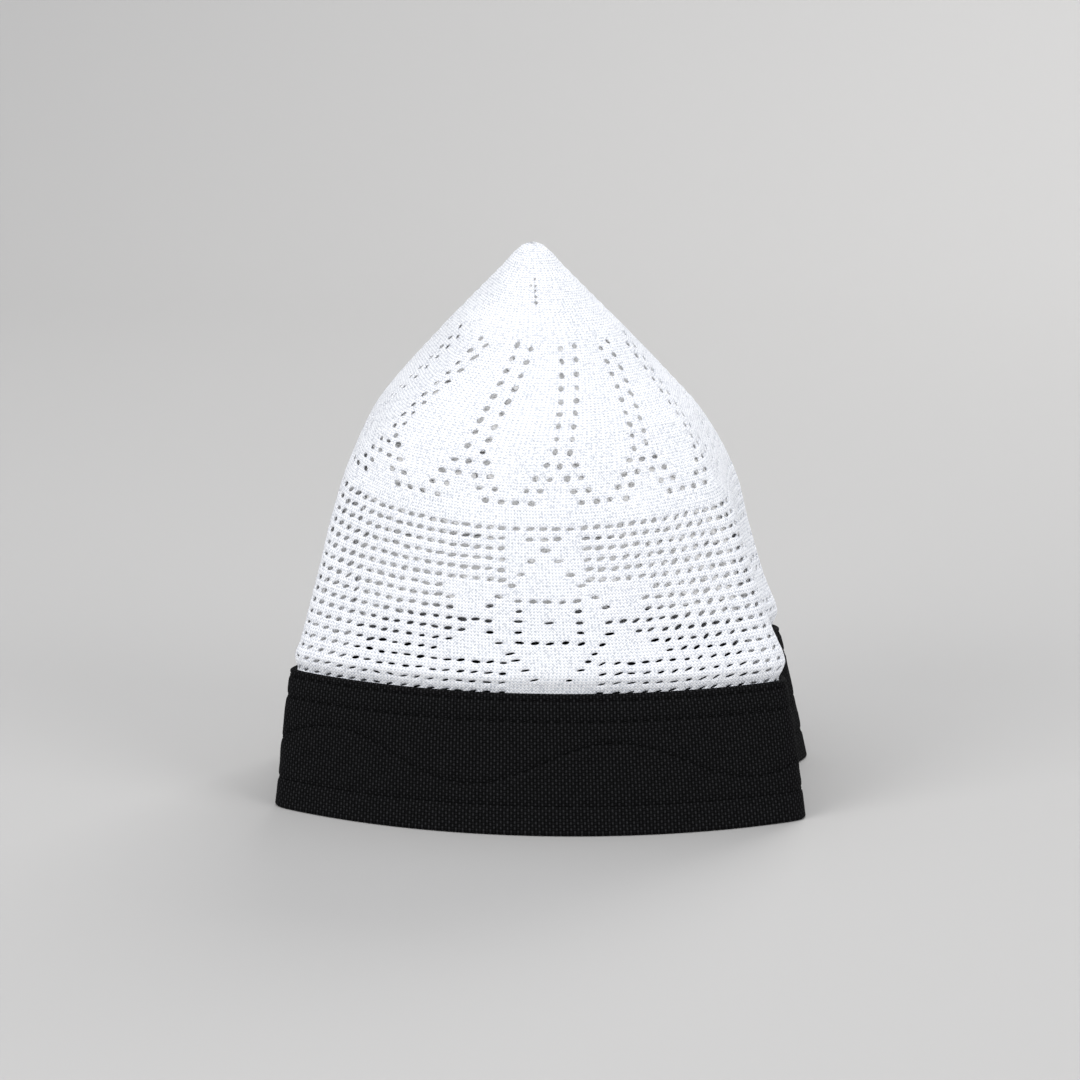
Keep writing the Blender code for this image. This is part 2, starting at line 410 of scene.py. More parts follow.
def stitch_tree() -> GeometryTree:
    """Nodes that lay a rounded stitch of thread on each point, along its run."""
    sizes = {"Thread": "Float", "Length": "Float", "Spread": "Float", "Seed": "Int"}
    made = GeometryTree("stitches", {**sizes, "Yarn": "Material"})
    thread, spread = made.source["Thread"], made.source["Spread"]
    bead = made.flow("GeometryNodeMeshUVSphere", {"Segments": 8, "Rings": 6, "Radius": 0.5})
    bead = made.flow("GeometryNodeSetShadeSmooth", {"Geometry": bead})
    align = "FunctionNodeAlignRotationToVector"
    turned = made.flow(align, {"Vector": made.attribute("run", "FLOAT_VECTOR")}, axis="X")
    feeds = {"Rotation": turned, "Vector": made.attribute("out", "FLOAT_VECTOR")}
    turned = made.flow(align, feeds, axis="Z", pivot_axis="X")
    feeds = {"Min": -1.0, "Max": 1.0, "Seed": made.source["Seed"]}
    uneven = made.node("FunctionNodeRandomValue", feeds, data_type="FLOAT")
    share = made.plus(made.times(uneven.outputs["Value"], spread), 1.0)
    length = made.times(made.source["Length"], share)
    feeds = {"X": length, "Y": thread, "Z": made.times(thread, STITCH_FLATNESS)}
    size = made.flow("ShaderNodeCombineXYZ", feeds)
    feeds = {"Points": made.source["Geometry"], "Instance": bead, "Rotation": turned, "Scale": size}
    laid = made.flow("GeometryNodeInstanceOnPoints", feeds)
    made.end(made.dress(made.flow("GeometryNodeRealizeInstances", {"Geometry": laid}), "Yarn"))
    return made


class Surface(Tree):
    """A material under construction."""

    def __init__(self, name: str, colour: tuple, roughness: float) -> None:
        """Start a material on a Principled shader.

        Args:
            name: the material's name.
            colour: its plain colour.
            roughness: its roughness.
        """
        self.material = bpy.data.materials.new(name)
        self.material.use_nodes = True
        self.material.diffuse_color = (*colour, 1)
        super().__init__(self.material.node_tree)
        feeds = {"Base Color": (*colour, 1), "Roughness": roughness}
        self.shader = self.node("ShaderNodeBsdfPrincipled", feeds)
        self.node("ShaderNodeOutputMaterial", {"Surface": self.shader.outputs[0]})
        self.where = self.node("ShaderNodeTexCoord").outputs["Object"]
        flat = self.node("ShaderNodeUVMap", uv_map="UVMap").outputs["UV"]
        split = self.node("ShaderNodeSeparateXYZ", {"Vector": flat})
        self.u, self.v = split.outputs["X"], split.outputs["Y"]

    def noise(self, scale: float, detail: float = 2.0) -> bpy.types.NodeSocket:
        """Noise in the object's own space, from 0 to 1."""
        feeds = {"Vector": self.where, "Scale": scale, "Detail": detail}
        return self.node("ShaderNodeTexNoise", feeds).outputs["Fac"]

    def blend(self, factor: bpy.types.NodeSocket, low: tuple, high: tuple) -> bpy.types.NodeSocket:
        """A colour between two.

        Args:
            factor: 0 for the low colour and 1 for the high one.
            low: the low colour.
            high: the high colour.
        Returns:
            The colour's socket.
        """
        # The Mix node repeats its sockets' names for each kind, so the colour's go by number.
        feeds = {0: factor, 6: (*low, 1), 7: (*high, 1)}
        return self.node("ShaderNodeMix", feeds, data_type="RGBA").outputs[2]

    def bump(self, height: bpy.types.NodeSocket, distance: float) -> None:
        """Relief on the shader, of a height from 0 to 1 over a distance in metres."""
        feeds = {"Strength": 1.0, "Distance": distance, "Height": height}
        self.feed(self.shader.inputs["Normal"], self.flow("ShaderNodeBump", feeds))

    def shade(self, feeds: dict) -> bpy.types.Material:
        """Feed the shader.

        Args:
            feeds: its inputs by name, each a socket or a plain value.
        Returns:
            The material.
        """
        for key, value in feeds.items():
            self.feed(self.shader.inputs[key], value)
        return self.material


@dataclass(frozen=True)
class KnitFinish:
    """White matt yarn in rows of small stitches, with fuzz; painted shade darkens the gaps and dots
    between stitches.
    """

    name: str = "white_knit"
    colour: tuple = (0.912, 0.922, 0.948)
    # The darker colour is painted shade, for the gaps between strands and the dark dots.
    hollow_shade: tuple = (0.40, 0.43, 0.50)
    roughness: float = 0.95
    relief: float = 0.00022
    leg_slope: float = 1.2
    strand_shape: float = 0.7
    wale_relief: float = 0.75
    fuzz: float = 0.35
    fuzz_scale: float = 2600.0
    gap: float = 3.4
    mottle: float = 0.3
    mottle_scale: float = 60.0
    dots: float = 850.0
    dot_size: float = 0.14
    dot_edge: float = 4.0
    dot_tone: float = 0.5
    glow: float = 0.0
    glow_depth: float = 0.012

    def make(self) -> bpy.types.Material:
        """Make the material; its UV map counts wales across and courses up."""
        work = Surface(self.name, self.colour, self.roughness)
        off = work.math("ABSOLUTE", work.minus(work.math("FRACT", work.u), 0.5))
        wale = work.math("COSINE", work.times(off, math.pi))
        up = work.plus(work.v, work.times(off, self.leg_slope))
        strand = work.math("ABSOLUTE", work.math("SINE", work.times(up, math.pi)))
        strand = work.math("POWER", strand, self.strand_shape)
        crown = work.plus(work.times(wale, self.wale_relief), 1 - self.wale_relief)
        fuzz = work.times(work.noise(self.fuzz_scale, 3.0), self.fuzz)
        work.bump(work.plus(work.times(strand, crown), fuzz), self.relief)
        # Painted shade: the colour darkens in the gaps between strands and between wales.
        gap = work.times(work.minus(1.0, strand), work.times(off, self.gap))
        tint = work.math("MAXIMUM", work.minus(1.0, gap), 0.0)
        tint = work.plus(tint, work.times(work.noise(self.mottle_scale), self.mottle))
        # Painted shade: dark dots where the knit's fine holes are.
        feeds = {"Vector": work.where, "Scale": self.dots}
        dot = work.node("ShaderNodeTexVoronoi", feeds).outputs["Distance"]
        dot = work.times(work.minus(dot, self.dot_size), self.dot_edge)
        dot = work.math("MINIMUM", work.math("MAXIMUM", dot, self.dot_tone), 1.0)
        return work.shade(
            {
                "Base Color": work.blend(work.times(tint, dot), self.hollow_shade, self.colour),
                "Subsurface Weight": self.glow,
                "Subsurface Radius": (1.0, 1.0, 1.0),
                "Subsurface Scale": self.glow_depth,
                "Specular IOR Level": 0.2,
                "Sheen Weight": 0.1,
                "Sheen Roughness": 0.6,
            }
        )


@dataclass(frozen=True)
class ClothFinish:
    """Black cloth in a coarse plain weave with painted highlight and shade, whose UV map is in
    metres.
    """

    name: str = "black_cloth"
    # The lighter colour is a painted highlight on the threads' crowns, the darker one painted shade
    # between them.
    colour: tuple = (0.0235, 0.0235, 0.0252)
    hollow_shade: tuple = (0.0008, 0.0008, 0.0008)
    roughness: float = 0.7
    thread: float = 0.532 / 520
    relief: float = 0.0004
    sway: float = 1.6
    sway_scale: float = 90.0
    weft_share: float = 0.5
    fibres: float = 0.3
    fibre_scale: float = 3000.0
    # How strong the crowns' painted highlight is, with the noise varying it at random like wear.
    highlight_and_wear: float = 0.6
    wear_scale: float = 700.0
    contrast: float = 1.8

    def make(self) -> bpy.types.Material:
        """Make the material."""
        work = Surface(self.name, self.colour, self.roughness)
        sway = work.times(work.minus(work.noise(self.sway_scale), 0.5), self.sway)
        warp, weft = (
            work.math("SINE", work.plus(work.times(way, math.pi / self.thread), sway))
            for way in (work.u, work.v)
        )
        over = work.times(work.times(warp, weft), 0.5)
        first = work.times(work.math("ABSOLUTE", warp), work.plus(0.5, over))
        second = work.times(work.math("ABSOLUTE", weft), work.minus(0.5, over))
        height = work.math("MAXIMUM", first, work.times(second, self.weft_share))
        fibres = work.times(work.noise(self.fibre_scale, 3.0), self.fibres)
        work.bump(work.plus(height, fibres), self.relief)
        # Painted highlight and shade: crowns take the lighter colour and hollows the darker, varied
        # at random by the noise.
        tint = work.times(height, work.plus(work.noise(self.wear_scale, 3.0), self.highlight_and_wear))
        tint = work.math("POWER", tint, self.contrast)
        return work.shade({"Base Color": work.blend(tint, self.hollow_shade, self.colour), "IOR": 1.1})


@dataclass(frozen=True)
class ThreadFinish:
    """Dull black sewing thread with its twist."""

    name: str = "black_thread"
    colour: tuple = (0.0012, 0.0012, 0.0013)
    dark: tuple = (0.0006, 0.0006, 0.0006)
    light: tuple = (0.003, 0.003, 0.0033)
    roughness: float = 0.7
    relief: float = 0.00008
    twist_scale: float = 2400.0
    wear_scale: float = 400.0

    def make(self) -> bpy.types.Material:
        """Make the material."""
        work = Surface(self.name, self.colour, self.roughness)
        work.bump(work.noise(self.twist_scale), self.relief)
        tint = work.blend(work.noise(self.wear_scale), self.dark, self.light)
        return work.shade({"Base Color": tint, "IOR": 1.1})


class MotifRow(NamedTuple):
    """A row of the mesh's motif: single eyelets, mirrored, and where the plain mesh starts."""

    row: float
    columns: tuple
    mesh: float


MOTIF = (
    MotifRow(1.0, (0.0, 1.05, 2.1), 3),
    MotifRow(2.0, (0.0, 1.1), 3),
    MotifRow(3.0, (0.1,), 3),
    MotifRow(4.1, (1.05,), 99),
    MotifRow(4.0, (), 3),
    MotifRow(5.0, (), 3),
    MotifRow(5.4, (1.85,), 99),
    MotifRow(6.0, (), 3),
    MotifRow(6.5, (2.6,), 99),
    MotifRow(7.0, (), 8),
    MotifRow(7.6, (3.5,), 99),
    MotifRow(8.0, (0.0, 1.05, 2.15), 7),
    MotifRow(8.6, (4.2,), 99),
    MotifRow(9.0, (2.15,), 7),
    MotifRow(10.0, (0.0, 2.15), 4),
    MotifRow(11.0, (2.15,), 6),
    MotifRow(11.1, (4.2,), 99),
    MotifRow(12.0, (0.0, 1.05, 2.15), 7),
    MotifRow(12.1, (3.55,), 99),
    MotifRow(13.0, (2.9,), 8),
    MotifRow(13.8, (2.4,), 99),
    MotifRow(14.0, (), 3),
    MotifRow(14.6, (1.8,), 99),
    MotifRow(15.0, (), 3),
    MotifRow(15.6, (1.15,), 99),
    MotifRow(16.0, (), 3),
    MotifRow(17.0, (), 3),
)


class PetalRow(NamedTuple):
    """A low row of a petal, counted from its foot: the eyelets of its split lines."""

    row: int
    columns: tuple


PETAL_FOOT = (
    PetalRow(0, (-3.4, -2.05, 2.05, 3.4)),
    PetalRow(1, (-2.7, -1.45, 1.45, 2.7)),
    PetalRow(2, (-2.05, -0.75, 0.75, 2.05)),
    PetalRow(3, (-1.35, -0.1, 1.35)),
)


class Mark(NamedTuple):
    """A pinhole of the tip, where stitches are knitted together: its place and its size."""

    column: float
    row: float
    size: float


TIP_MARKS = (
    Mark(-3.8, 35.9, 0.0007),
    Mark(-5.5, 35.2, 0.0007),
    Mark(-3.7, 35.2, 0.0008),
    Mark(-3.8, 34.7, 0.0008),
    Mark(-3.7, 34.1, 0.0009),
    Mark(-3.8, 33.5, 0.0012),
)


class Eyelet(NamedTuple):
    """One hole of the lace: its place in columns and rows, its sizes in metres and its tilt."""

    column: float
    row: float
    length: float
    width: float
    tilt: float


class Zone(Enum):
    """The stretches of the crown, by their first and last row above the band."""

    LOWER = ("crown_lace_lower", -3.0, 7.0)
    UPPER = ("crown_lace_upper", 7.0, 16.0)
    PETALS = ("crown_petals", 16.0, 30.0)
    TIP = ("crown_tip", 30.0, 40.0)


@dataclass
class LaceCrown:
    """The knitted crown: mesh with a motif, a ring of petals and a plain tip."""

    form: CapForm
    # The rows of the mesh, and how the folds stretch and lift them.
    columns: int = 112
    mesh_rows: int = 16
    mesh_pitch: float = 0.00336
    first_row: float = 0.0032
    fold_stretch: float = 0.172
    left_pull: float = 0.2
    fold_lift: float = 0.0015
    plain_row: float = 0.0047
    # The petals: how they grow, lean and swing out near the left fold.
    petal_rows: int = 13
    petals: int = 14
    petal_share: float = 0.589
    petal_growth: float = 0.15
    petal_lean: float = 5.6
    swing: float = 2.6
    swing_turn: float = -0.115
    swing_reach: float = 0.05
    lean_growth: float = 1.4
    # The tip, the hem, the wall, and how the crown rises and slumps over the band.
    tip_rows: int = 10
    hem: float = 0.009
    hem_rows: int = 3
    wall: float = 0.0014
    under: float = 0.0027
    rise: float = 0.006
    slump: float = 0.0016
    slump_rise: float = 0.010
    slump_fall: float = 0.040
    # Where the motif and the petals' double lines stand, in columns and metres.
    motif_centre: float = 1.4
    motif_columns: int = 28
    mesh_column: int = 3
    mesh_offset: float = 3.3
    petal_centre: float = 1.2
    line_spacing: float = 0.0047
    fan: float = 5.7
    fan_turn: float = 0.045
    fan_least: float = -0.9
    fan_most: float = 0.6
    # The eyelets, their slant and their unevenness.
    eyelet_length: float = 0.0024
    eyelet_width: float = 0.00102
    petal_length: float = 0.0019
    petal_width: float = 0.00155
    petal_tilt: float = 0.1
    slant: float = 0.15
    slant_across: float = 0.025
    slant_foot: float = 0.6
    slant_rise: float = 0.05
    narrow_foot: float = 0.55
    narrow_rise: float = 0.06
    stray: float = 0.035
    uneven_length: float = 0.1
    uneven_width: float = 0.14
    uneven_tilt: float = 0.12
    # The sheet's points round the eyelets and between them.
    sides: int = 10
    mesh_stretch: tuple = (4.0, 3.4)
    petal_stretch: tuple = (2.6, 4.2)
    course: float = 0.00105
    wale: float = 0.00112
    rim: float = 0.00042
    clear: float = 1.9
    touch: float = 0.8
    margin: float = 0.08
    ridge: float = 0.00022
    rim_share: float = 0.8
    wale_dither: float = 0.25
    wale_limits: tuple = (0.125, 4)
    samples: int = 900
    row_step: float = 0.25
    lattice_step: float = 0.5
    mesh_cut: float = 14.0
    petal_cut: float = 5.5
    near_rows: float = 1.2
    neighbours: tuple = (1.4, 0.9)
    plain_band: float = 0.6
    narrow_row: float = 20
    least_edge: float = 0.0011
    least_count: int = 14
    seed: int = 7
    lengths: np.ndarray = field(init=False)
    rows: np.ndarray = field(init=False)
    pitches: np.ndarray = field(init=False)

    def __post_init__(self) -> None:
        """Find where each row stands on each meridian."""
        grid = np.linspace(0, self.form.outline, self.samples)
        turns = np.arange(2 * self.columns) / (2 * self.columns)
        arcs = self.form.arcs(turns, grid)
        self.rows = np.arange(-self.hem_rows, self.last_row() + self.row_step, self.row_step)
        self.lengths = np.zeros((len(turns), len(self.rows)))
        for index, arc in enumerate(arcs):
            start = float(np.interp(self.form.top, grid, arc))
            fold = float(self.form.fold_share(turns[index]))
            fold *= 1 - self.left_pull * math.sin(2 * math.pi * turns[index])
            wanted = start + self.height_of(self.rows, arc[-1] - start, fold)
            self.lengths[index] = np.interp(wanted, arc, grid)
        middle = self.lengths.mean(axis=0)
        ring = self.form.point(turns[:, None], middle[None, :])
        steps = np.linalg.norm(np.roll(ring, -1, axis=0) - ring, axis=2)
        self.pitches = steps.sum(axis=0) / self.columns

    def last_row(self) -> float:
        """The row of the tip."""
        return self.mesh_rows + 1 + self.petal_rows + self.tip_rows

    def height_of(self, rows: np.ndarray, whole: float, fold: float = 0.0) -> np.ndarray:
        """Distance above the band along a meridian, at rows.

        Args:
            rows: rows above the band; the hem's are below zero.
            whole: the meridian's length above the band.
            fold: how near the meridian is to a fold, where the mesh is stretched.
        Returns:
            The distances in metres.
        """
        pitch = self.mesh_pitch * (1 + self.fold_stretch * fold)
        start = self.first_row + self.fold_lift * fold - pitch / 2
        foot = start + self.mesh_rows * pitch + self.plain_row
        rest = whole - foot
        low = self.mesh_rows + 1
        high = low + self.petal_rows
        along = np.clip((rows - low) / self.petal_rows, 0, 1)
        rows = np.where(
            (rows > low) & (rows < high),
            low + self.petal_rows * along * (1 - self.petal_growth * (1 - along)),
            rows,
        )
        stations = (-self.hem_rows, -1, self.mesh_rows, low, high, self.last_row())
        heights = (
            -self.hem,
            start - pitch,
            start + self.mesh_rows * pitch,
            foot,
            foot + rest * self.petal_share,
            whole,
        )
        return np.interp(rows, stations, heights)

    def length_at(self, column: np.ndarray, row: np.ndarray) -> np.ndarray:
        """Lengths along the side's outline at columns and rows.

        Args:
            column: columns, where the motif's middle eyelet stands at 0.5.
            row: rows above the band.
        Returns:
            The lengths in metres.
        """
        across = ((column - 0.5 + self.motif_centre) * 2) % (2 * self.columns)
        left = np.floor(across).astype(int)
        t = across - left
        left = left % (2 * self.columns)
        right = (left + 1) % (2 * self.columns)
        up = np.clip((row - self.rows[0]) / self.row_step, 0, len(self.rows) - 1.000001)
        low = np.floor(up).astype(int)
        s = up - low
        table = self.lengths
        bottom = table[left, low] * (1 - t) + table[right, low] * t
        top = table[left, low + 1] * (1 - t) + table[right, low + 1] * t
        return bottom * (1 - s) + top * s

    def place(self, column: np.ndarray, row: np.ndarray, relief: np.ndarray) -> np.ndarray:
        """Points of the crown's outer face.

        Args:
            column: columns, where the motif's middle eyelet stands at 0.5.
            row: rows above the band.
            relief: heights above the plain surface, in metres.
        Returns:
            The points in a last axis of three.
        """
        length = self.length_at(column, row)
        turn = self.turn_at(column, row)
        under = self.under * (1 - ease((length - self.form.top) / self.rise))
        point = self.form.inset(turn, length, under - relief)
        up = length - self.form.top
        fade = 1 - ease((up - self.slump_rise) / self.slump_fall)
        point[..., 0] += self.slump * ease(up / self.slump_rise) * fade
        return point

    def pitch_at(self, row: float) -> float:
        """Width of a column at a row."""
        return float(np.interp(row, self.rows, self.pitches))

    def eyelets(self) -> list[Eyelet]:
        """Every eyelet of the mesh and the petals, each a little uneven, and the tip's pinholes.

        Returns:
            The eyelets.
        """
        random = np.random.default_rng(self.seed)
        found: list[Eyelet] = []

        def add(column: float, row: float, length: float, width: float, tilt: float) -> None:
            """Keep one eyelet, moved, sized and turned a little at random.

            Args:
                column: its column.
                row: its row.
                length: its length in metres.
                width: its width in metres.
                tilt: its turn from level.
            """
            found.append(
                Eyelet(
                    column + random.normal(0, self.stray),
                    row + random.normal(0, self.stray),
                    length * (1 + random.normal(0, self.uneven_length)),
                    width * (1 + random.normal(0, self.uneven_width)),
                    tilt + random.normal(0, self.uneven_tilt),
                )
            )

        half = self.motif_columns // 2
        for start in range(0, self.columns, self.motif_columns):
            for line in MOTIF:
                row = self.mesh_rows + 0.5 - line.row
                places = [side * c for c in line.columns for side in (1, -1) if c or side > 0]
                for index in range(-half, half):
                    if abs(index) >= line.mesh:
                        places.append(math.copysign(self.mesh_place(abs(index), half), index))
                growth = self.slant_foot + self.slant_rise * row
                width = self.eyelet_width * min(1.0, self.narrow_foot + self.narrow_rise * row)
                for place in places:
                    slant = self.slant + self.slant_across * max(place, 0.0) * growth
                    add(start + place + 0.5, row, self.eyelet_length, width, slant)
        step = self.columns // self.petals
        for petal in range(self.petals):
            centre = petal * step + self.petal_centre + 0.5
            long, wide = self.petal_length, self.petal_width
            for line in PETAL_FOOT:
                row = self.mesh_rows + 1 + line.row + 0.5
                for place in line.columns:
                    add(centre + place, row, long, wide, self.petal_tilt)
            for index in range(len(PETAL_FOOT), self.petal_rows):
                row = self.mesh_rows + 1 + index + 0.5
                offset = self.line_spacing / 2
                slope = self.fan_slope(centre, row)
                level = math.cos(math.atan(slope))
                across, up = self.scale_at(np.array(row))
                for side in (-offset, offset):
                    column = centre + side * level / float(across)
                    higher = row + side * level * slope / float(up)
                    add(column, higher, wide, long, self.slant + math.atan(slope))
        for mark in TIP_MARKS:
            found.append(Eyelet(mark.column, mark.row, mark.size, mark.size, 0.0))
        return found

    def mesh_place(self, index: int, half: int) -> float:
        """Distance of a mesh eyelet from the motif's middle, so that the meshes meet evenly."""
        first, start = self.mesh_column, self.mesh_offset
        return start + (index - first) * (half - start) / (half - first)

    def turn_at(self, column: np.ndarray, row: np.ndarray) -> np.ndarray:
        """Turns from the near panel's middle at columns and rows.

        Args:
            column: columns, where the motif's middle eyelet stands at 0.5.
            row: rows above the band.
        Returns:
            The turns, with the petals' lean and swing.
        """
        along = np.clip((row - self.mesh_rows - 1) / self.petal_rows, 0, 1)
        turn = (column - 0.5 + self.motif_centre) / self.columns
        reach = (turn - self.swing_turn + 0.5) % 1 - 0.5
        near = np.exp(-((reach / self.swing_reach) ** 2))
        swing = self.swing * np.sin(np.pi * along) * near
        return turn + (self.petal_lean * along**self.lean_growth - swing) / self.columns

    def fan_slope(self, column: float, row: float) -> float:
        """Rise to run of a pair of a petal's eyelets, which stands square to its line.

        Args:
            column: the petal's middle column.
            row: the pair's row.
        Returns:
            The rise to run, within limits.
        """
        turn = float(self.turn_at(np.array(column), np.array(row)))
        reach = (turn + 0.25) % 0.5 - 0.25
        return max(self.fan_least, min(self.fan_most, self.fan * (reach - self.fan_turn)))

    def scale_at(self, row: np.ndarray) -> tuple[np.ndarray, np.ndarray]:
        """How wide and high the knit's cells are.

        Args:
            row: rows above the band.
        Returns:
            Metres to a column and metres to a row, at each.
        """
        across = np.interp(row, self.rows, self.pitches)
        whole = self.form.outline - self.form.top
        step = self.row_step
        up = self.height_of(row + step, whole) - self.height_of(row - step, whole)
        return across, np.maximum(up / (2 * step), 1e-4)

    def ring(self, eyelet: Eyelet, grow: float) -> np.ndarray:
        """An oval loop round an eyelet.

        Args:
            eyelet: the eyelet.
            grow: a margin all round, in metres.
        Returns:
            Pairs of a column and a row.
        """
        across, up = self.scale_at(np.array(eyelet.row))
        angle = np.arange(self.sides) * 2 * math.pi / self.sides
        x = (eyelet.length / 2 + grow) * np.cos(angle)
        y = (eyelet.width / 2 + grow) * np.sin(angle)
        turned_x = x * math.cos(eyelet.tilt) - y * math.sin(eyelet.tilt)
        turned_y = x * math.sin(eyelet.tilt) + y * math.cos(eyelet.tilt)
        column = eyelet.column + turned_x / across
        row = eyelet.row + turned_y / up
        return np.stack((column, row), axis=-1)

    def lattice(self, zone: Zone, start: float) -> np.ndarray:
        """Even points of a zone's sheet, fewer round where the crown narrows.

        Args:
            zone: the zone.
            start: the column at which the sheet is cut open.
        Returns:
            Pairs of a column and a row.
        """
        _, low, high = zone.value
        points = []
        for row in np.arange(low, high + 0.01, self.lattice_step):
            if row >= self.last_row():
                continue
            count = self.columns * 2
            girth = self.pitch_at(row) * self.columns
            while row > max(low, self.narrow_row) and count > self.least_count:
                if girth / count >= self.least_edge:
                    break
                count //= 2
            for index in range(count + 1):
                points.append((start + index * self.columns / count, row))
        return np.array(points)

    def sheet(self, zone: Zone) -> bpy.types.Object:
        """A zone's sheet with its eyelet faces marked, before it gets its wall.

        Args:
            zone: the zone.
        Returns:
            The sheet's object.
        """
        name, low, high = zone.value
        start = self.mesh_cut if zone in (Zone.LOWER, Zone.UPPER) else self.petal_cut
        holes = [hole for hole in self.eyelets() if low < hole.row < high]
        holes = [h._replace(column=start + (h.column - start) % self.columns) for h in holes]
        points = self.lattice(zone, start)
        relief = np.full(len(points), self.ridge)
        edge = (points[:, 1] <= low + 0.01) | (points[:, 1] >= high - 0.01)
        side = (points[:, 0] <= start + 0.01) | (points[:, 0] >= start + self.columns - 0.01)
        middle = np.abs(points[:, 1] % 1 - 0.5) < 0.1
        inner = (points[:, 1] > low + self.plain_band) & (points[:, 1] < high - self.plain_band)
        relief[middle & inner] = 0.0
        keep = np.ones(len(points), bool)
        rims = [self.ring(hole, self.rim) for hole in holes]
        across, up = self.scale_at(points[:, 1])
        centres = np.array([(h.column, h.row) for h in holes]).reshape(-1, 2)
        for hole, centre in zip(holes, centres):
            near = np.abs(points[:, 1] - centre[1]) < self.near_rows
            dx = (points[near, 0] - centre[0]) * across[near]
            dy = (points[near, 1] - centre[1]) * up[near]
            inside = np.zeros(len(points), bool)
            inside[near] = self.within(hole, dx, dy, self.rim * self.clear)
            keep &= ~inside
        keep |= edge | side
        points, relief = points[keep], relief[keep]
        coords = [tuple(point) for point in points]
        reliefs = list(relief)
        for index, rim in enumerate(rims):
            for pair in rim:
                if not low + self.margin < pair[1] < high - self.margin:
                    continue
                if not start + self.margin < pair[0] < start + self.columns - self.margin:
                    continue
                if self.crowded(pair, index, centres, holes):
                    continue
                coords.append(tuple(pair))
                reliefs.append(self.ridge * self.rim_share)
        faces = []
        for hole in holes:
            loop = self.ring(hole, 0.0)
            first = len(coords)
            coords += [tuple(pair) for pair in loop]
            reliefs += [-self.ridge] * self.sides
            faces.append(list(range(first, first + self.sides)))
        return self.knit(name, coords, np.array(reliefs), faces, low, high)

    def within(self, hole: Eyelet, dx: np.ndarray, dy: np.ndarray, grow: float) -> np.ndarray:
        """Whether points lie in an eyelet.

        Args:
            hole: the eyelet.
            dx: metres across from its middle.
            dy: metres up from its middle.
            grow: a margin all round, in metres.
        Returns:
            True or False for each point.
        """
        cos, sin = math.cos(hole.tilt), math.sin(hole.tilt)
        x = (dx * cos + dy * sin) / (hole.length / 2 + grow)
        y = (dy * cos - dx * sin) / (hole.width / 2 + grow)
        return x * x + y * y < 1

    def crowded(self, pair: np.ndarray, own: int, centres: np.ndarray, holes: list) -> bool:
        """Whether a rim's point lies on or against another eyelet.

        Args:
            pair: the point's column and row.
            own: the number of the eyelet that the rim is round.
            centres: every eyelet's column and row.
            holes: the eyelets.
        Returns:
            True if it does.
        """
        close = np.abs(centres - pair) < self.neighbours
        for index in np.nonzero(close.all(axis=1))[0]:
            if index == own:
                continue
            hole = holes[index]
            across, up = self.scale_at(np.array(hole.row))
            dx = (pair[0] - hole.column) * float(across)
            dy = (pair[1] - hole.row) * float(up)
            if self.within(hole, dx, dy, self.rim * self.touch):
                return True
        return False

    def knit(
        self, name: str, coords: list, relief: np.ndarray, holes: list, low: float, high: float
    ) -> bpy.types.Object:
        """Fill the sheet between its points and mark the faces inside eyelets.

        Args:
            name: the piece's name.
            coords: columns and rows of the points.
            relief: height of each point above the plain surface.
            holes: loops of points round the eyelets.
            low: the zone's first row.
            high: the zone's last row.
        Returns:
            The sheet's object.
        """
        stretch = np.array(self.mesh_stretch if high <= self.mesh_rows else self.petal_stretch)
        flat = [Vector(tuple(np.array(pair) * stretch)) for pair in coords]
        verts, _, faces, origins, _, owners = delaunay_2d_cdt(flat, [], holes, 0, 1e-5)
        pairs = np.array([tuple(point) for point in verts]) / stretch
        heights = np.array([relief[origin[0]] if origin else 0.0 for origin in origins])
        start = pairs[:, 0].min()
        wrapped = pairs[:, 0].copy()
        wrapped[wrapped > start + self.columns - 1e-3] = start
        solid = self.place(wrapped, pairs[:, 1], heights)
        triangles = [list(face) for face in faces]
        marked = [bool(owner) for owner in owners]
        if high >= self.last_row():
            tip = len(solid)
            top = np.nonzero(pairs[:, 1] > high - self.lattice_step - 0.01)[0]
            top = top[np.argsort(pairs[top, 0])]
            pole = self.form.point(np.array(0.0), np.array(self.form.outline))
            solid = np.vstack((solid, pole))
            pairs = np.vstack((pairs, (start, high)))
            triangles += [[a, b, tip] for a, b in zip(top, top[1:])]
            marked += [False] * (len(top) - 1)
        made = mesh_object(name, solid, triangles)
        corners = pairs[np.array(triangles).ravel()]
        middle = pairs[np.array(triangles)][:, :, 1].mean(axis=1)
        width = np.interp(middle, self.rows, self.pitches) / self.wale
        random = np.random.default_rng(self.seed)
        uneven = random.uniform(-self.wale_dither, self.wale_dither, len(middle))
        wales = 2.0 ** np.round(np.log2(width) + uneven)
        wales = np.clip(wales, *self.wale_limits)
        uv = np.empty((len(corners), 2))
        uv[:, 0] = corners[:, 0] * np.repeat(wales, 3)
        whole = self.form.outline - self.form.top
        uv[:, 1] = self.height_of(corners[:, 1], whole) / self.course
        write_uv(made.data, uv)
        flag = made.data.attributes.new("eyelet", "BOOLEAN", "FACE")
        flag.data.foreach_set("value", marked)
        seam = made.data.attributes.new("seam", "FLOAT", "POINT")
        ends = (pairs[:, 1] < low + 1e-3) | (pairs[:, 1] > high - 1e-3)
        seam.data.foreach_set("value", ends.astype(np.float32))
        self.close(made)
        return made

    def close(self, made: bpy.types.Object) -> None:
        """Merge the sheet where it was cut open, and turn its faces outwards.

        Args:
            made: the sheet's object.
        """
        work = bmesh.new()
        work.from_mesh(made.data)
        bmesh.ops.remove_doubles(work, verts=work.verts[:], dist=SEAM_MERGE)
        bmesh.ops.recalc_face_normals(work, faces=work.faces[:])
        work.to_mesh(made.data)
        work.free()

